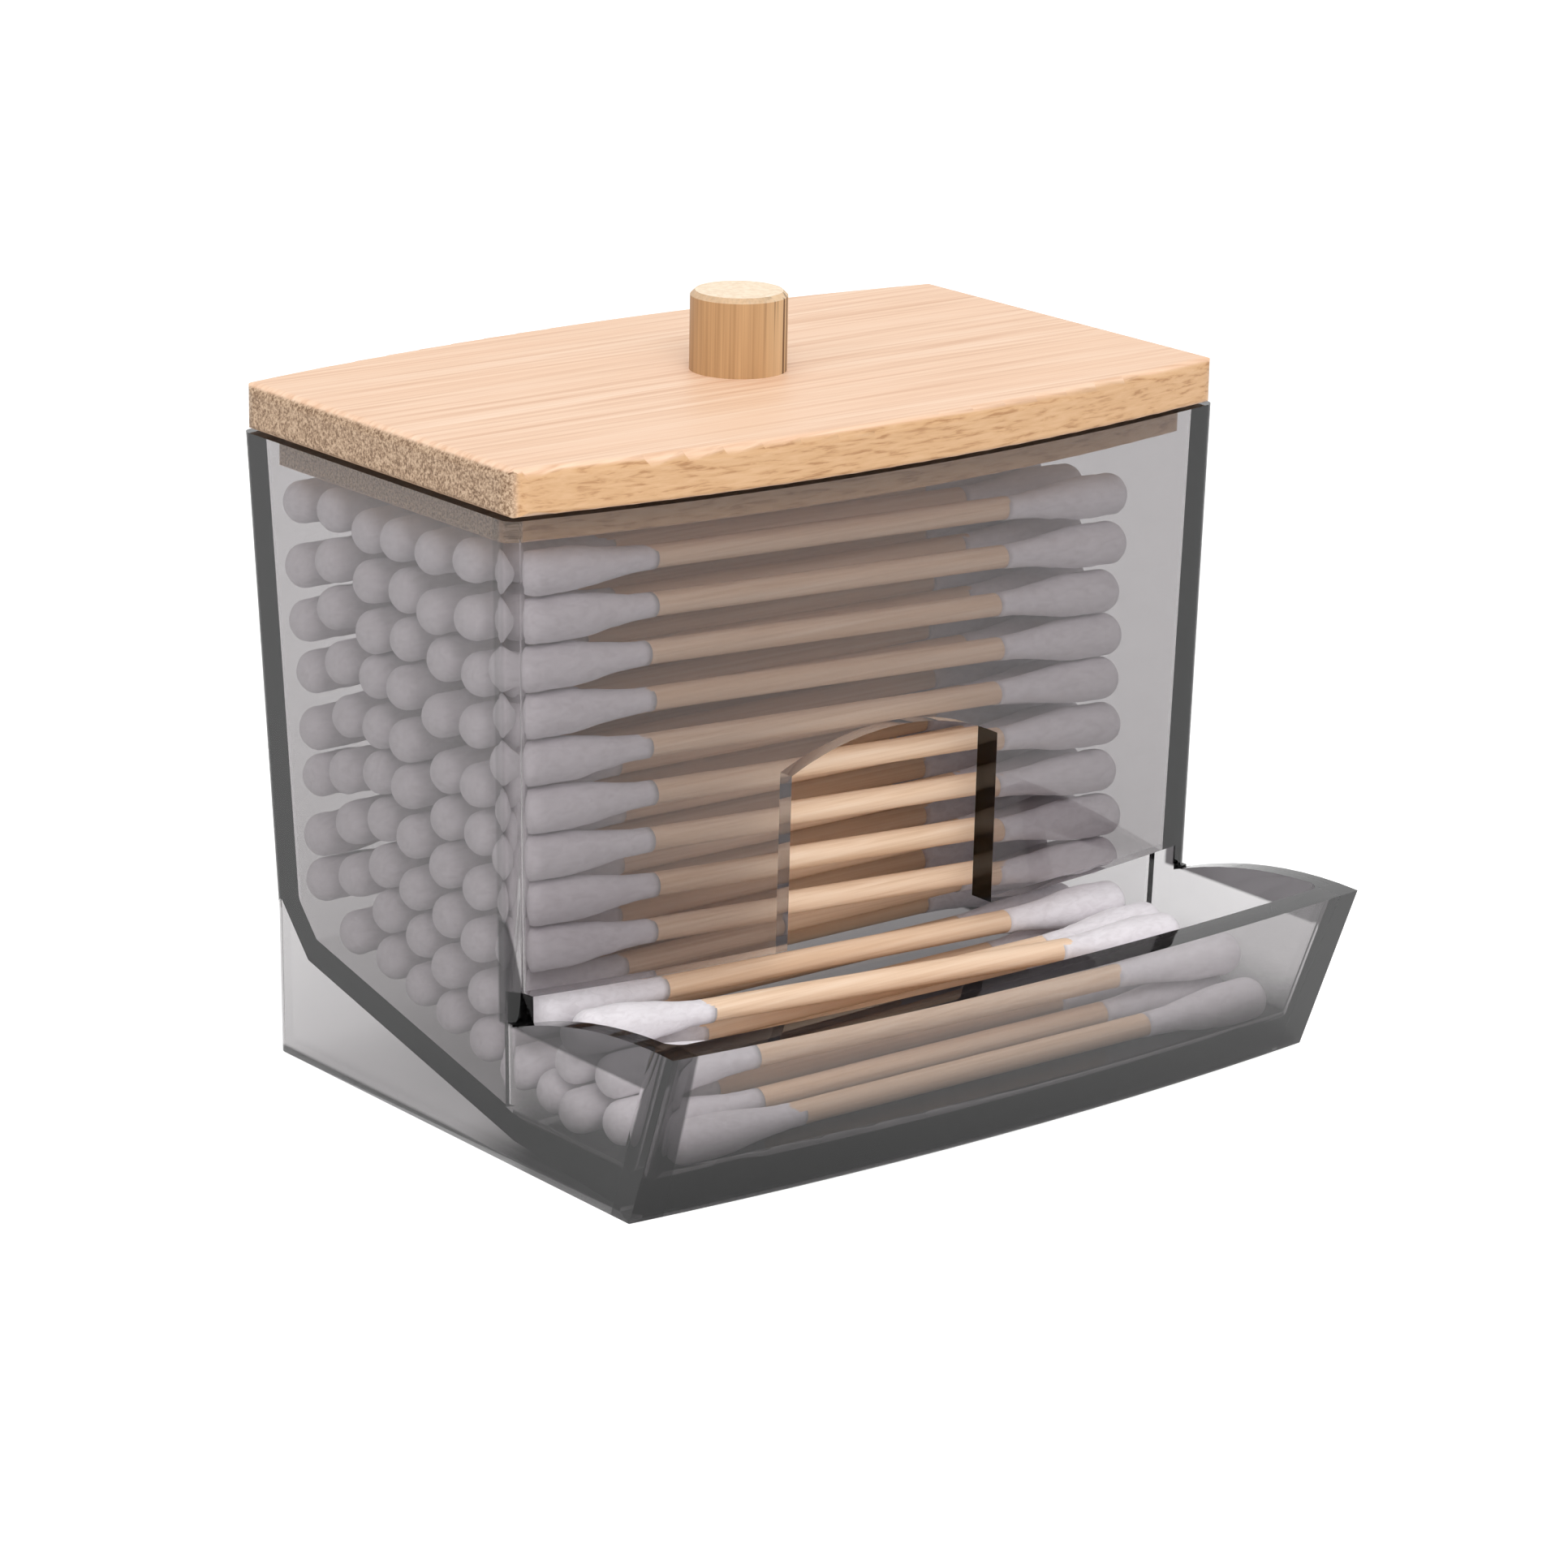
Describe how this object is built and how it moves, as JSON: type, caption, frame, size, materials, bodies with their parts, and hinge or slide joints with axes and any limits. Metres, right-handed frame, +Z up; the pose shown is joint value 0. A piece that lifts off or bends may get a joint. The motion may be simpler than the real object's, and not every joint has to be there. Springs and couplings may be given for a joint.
{
  "type": "cotton swab holder",
  "caption": "Clear smoke-tinted hopper full of bamboo cotton swabs, with a front tray, a finger notch and a lift-off bamboo lid with a round knob.",
  "frame": {"origin": "on the table, under the middle of the whole object's bounding box", "axes": "+X to the right along the front, +Y to the back, +Z up"},
  "size_m": [0.0904, 0.0781, 0.0782],
  "materials": {
    "smoke_acrylic": "clear gloss",
    "bamboo": "satin",
    "stick_bamboo": "matte",
    "cotton": "matte",
    "plated_steel": "satin"
  },
  "bodies": {
    "hopper": {"hopper_body": "smoke_acrylic", "pile_front_sticks": "stick_bamboo", "pile_front_tips": "cotton", "pile_second_sticks": "stick_bamboo", "pile_second_tips": "cotton", "pile_middle_sticks": "stick_bamboo", "pile_middle_tips": "cotton", "pile_rear_sticks": "stick_bamboo", "pile_rear_tips": "cotton", "tray_swab_1_stick": "stick_bamboo", "tray_swab_1_tips": "cotton", "tray_swab_2_stick": "stick_bamboo", "tray_swab_2_tips": "cotton", "tray_swab_3_stick": "stick_bamboo", "tray_swab_3_tips": "cotton", "tray_swab_4_stick": "stick_bamboo", "tray_swab_4_tips": "cotton", "tray_swab_5_stick": "stick_bamboo", "tray_swab_5_tips": "cotton", "tray_swab_6_stick": "stick_bamboo", "tray_swab_6_tips": "cotton", "tray_swab_7_stick": "stick_bamboo", "tray_swab_7_tips": "cotton", "tray_swab_8_stick": "stick_bamboo", "tray_swab_8_tips": "cotton", "tray_swab_9_stick": "stick_bamboo", "tray_swab_9_tips": "cotton"},
    "lid": {"lid_board": "bamboo", "lid_knob": "bamboo", "knob_screw": "plated_steel"}
  },
  "joints": [
    {"name": "lid_lift", "type": "slide", "parent": "hopper", "child": "lid", "axis": [0, 0, 1], "range_m": [0, 0.06]}
  ]
}
